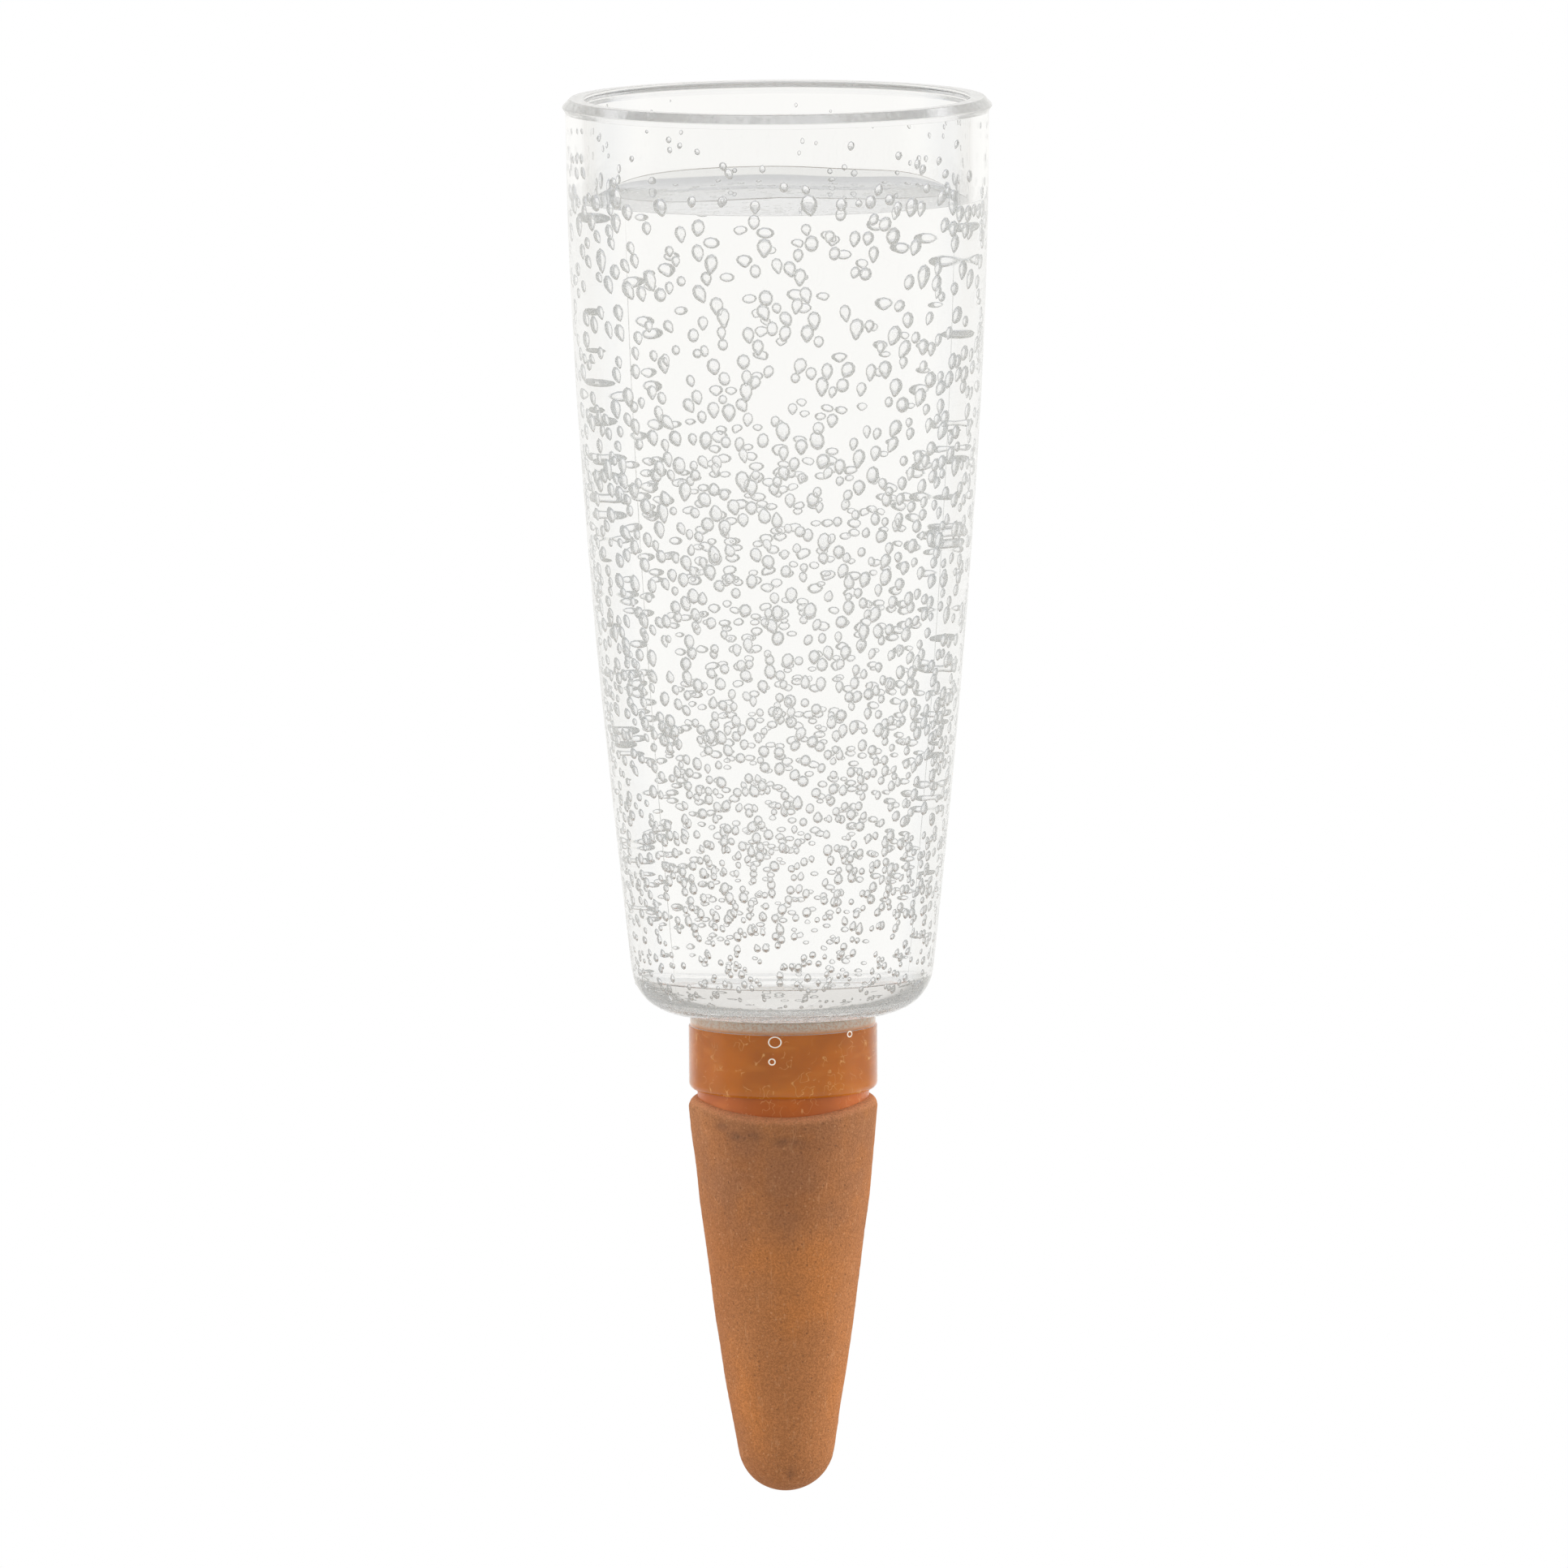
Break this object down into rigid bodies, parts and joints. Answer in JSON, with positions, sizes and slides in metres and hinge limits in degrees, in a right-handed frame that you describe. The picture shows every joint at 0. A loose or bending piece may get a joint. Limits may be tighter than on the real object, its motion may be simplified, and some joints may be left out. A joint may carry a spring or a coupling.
{
  "type": "self watering spike",
  "caption": "Clear tapered water reservoir with bubbles in its wall, plugged by a rubber seal onto a hollow fired clay cone that stands in the soil of a pot.",
  "frame": {"origin": "on the axis at the soil line, at the level of the clay cone's shoulder", "axes": "+Z along the axis of revolution, up out of the soil towards the reservoir's rim"},
  "size_m": [0.1, 0.1, 0.3267],
  "materials": {
    "clear_plastic": "clear, smooth, with small air bubbles in the wall",
    "seal_rubber": "smooth, slightly glossy orange brown",
    "fired_clay": "matte, fine grained, unglazed"
  },
  "bodies": {
    "cone": {"clay_cone": "fired_clay"},
    "seal": {"seal_sleeve": "seal_rubber"},
    "reservoir": {"reservoir": "clear_plastic"}
  },
  "joints": [
    {"name": "reservoir_twist", "type": "hinge", "parent": "cone", "child": "seal", "pos_m": [0, 0, 0.0088], "axis": [0, 0, 1], "continuous": true},
    {"name": "reservoir_lift", "type": "slide", "parent": "seal", "child": "reservoir", "axis": [0, 0, 1], "range_m": [0, 0.03]}
  ]
}
